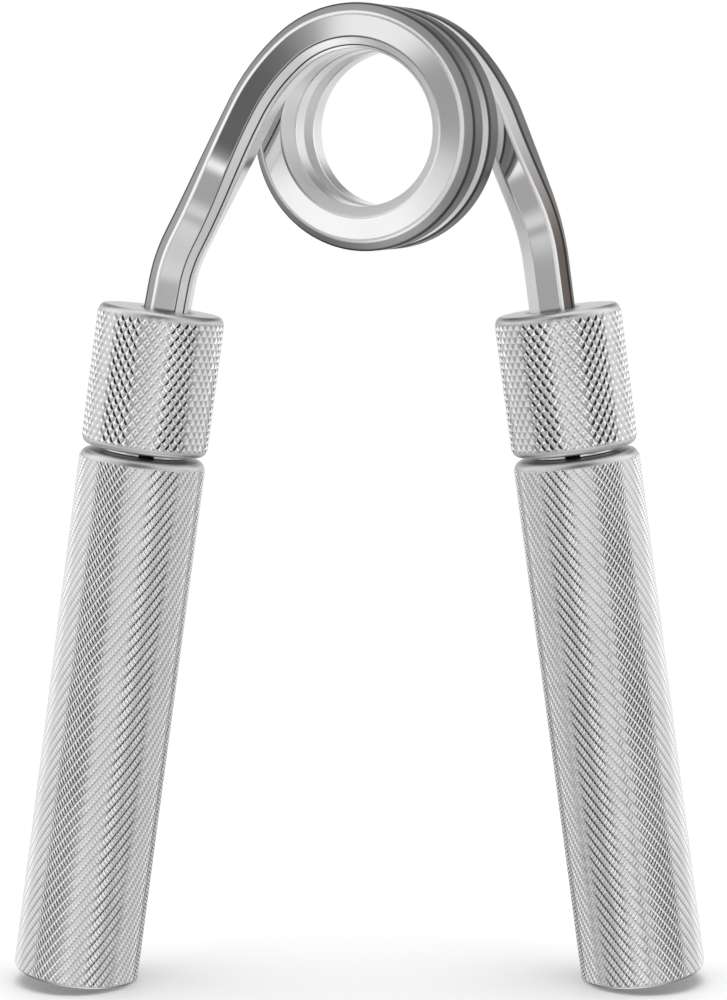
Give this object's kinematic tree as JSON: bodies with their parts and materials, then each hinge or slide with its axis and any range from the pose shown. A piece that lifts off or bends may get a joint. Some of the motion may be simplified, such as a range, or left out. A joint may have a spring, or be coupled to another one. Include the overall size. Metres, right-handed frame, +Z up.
{
  "type": "hand grip strengthener",
  "caption": "Heavy torsion-spring hand grip strengthener: a coiled chamfered steel wire whose legs end in knurled aluminium collars with revolving knurled grip sleeves.",
  "frame": {"origin": "on the floor plane, under the middle between the two handles, at the centre of the bounding box's base", "axes": "+Z up from the grip ends to the spring coil, +X from the left handle to the right handle as seen from the front, +Y to the back"},
  "size_m": [0.1264, 0.0334, 0.1765],
  "materials": {
    "spring_steel": "polished spring steel wire with chamfered corners, nickel bright, faint draw marks along the wire",
    "collar_aluminium": "turned aluminium with symmetric diamond knurling and satin faces",
    "grip_aluminium": "turned aluminium with fine crossed knurling and satin faces",
    "cap_aluminium": "face-turned aluminium, satin, fine concentric tool marks",
    "ring_steel": "bright ground steel",
    "blacked_steel": "black oxide steel, satin",
    "bush_bronze": "sintered bronze, dull"
  },
  "bodies": {
    "spring": {"spring_coil": "spring_steel"},
    "handle_left": {"spring_leg_left": "spring_steel", "collar_left": "collar_aluminium", "core_left": "blacked_steel", "retaining_ring_left": "ring_steel", "thrust_washer_left": "ring_steel", "retaining_screw_left": "blacked_steel"},
    "handle_right": {"spring_leg_right": "spring_steel", "collar_right": "collar_aluminium", "core_right": "blacked_steel", "retaining_ring_right": "ring_steel", "thrust_washer_right": "ring_steel", "retaining_screw_right": "blacked_steel"},
    "grip_left": {"grip_sleeve_left": "grip_aluminium", "upper_bush_left": "bush_bronze", "lower_bush_left": "bush_bronze", "end_cap_left": "cap_aluminium"},
    "grip_right": {"grip_sleeve_right": "grip_aluminium", "upper_bush_right": "bush_bronze", "lower_bush_right": "bush_bronze", "end_cap_right": "cap_aluminium"}
  },
  "joints": [
    {"name": "squeeze_left", "type": "hinge", "parent": "spring", "child": "handle_left", "pos_m": [0.0029, 0, 0.15496], "axis": [0, -1, 0], "range_deg": [0, 14.7], "stiffness_Nm_per_rad": 324, "deforming": ["spring_coil"]},
    {"name": "squeeze_right", "type": "hinge", "parent": "spring", "child": "handle_right", "pos_m": [0.0029, 0, 0.15496], "axis": [0, 1, 0], "range_deg": [0, 14.7], "stiffness_Nm_per_rad": 324, "deforming": ["spring_coil"]},
    {"name": "grip_spin_left", "type": "hinge", "parent": "handle_left", "child": "grip_left", "pos_m": [-0.0352, 0, 0.12291], "axis": [0.1378, 0, 0.9905], "continuous": true},
    {"name": "grip_spin_right", "type": "hinge", "parent": "handle_right", "child": "grip_right", "pos_m": [0.0352, 0, 0.12291], "axis": [-0.1378, 0, 0.9905], "continuous": true}
  ],
  "couplings": [
    {"joint": "squeeze_right", "follows": "squeeze_left", "ratio": 1}
  ]
}
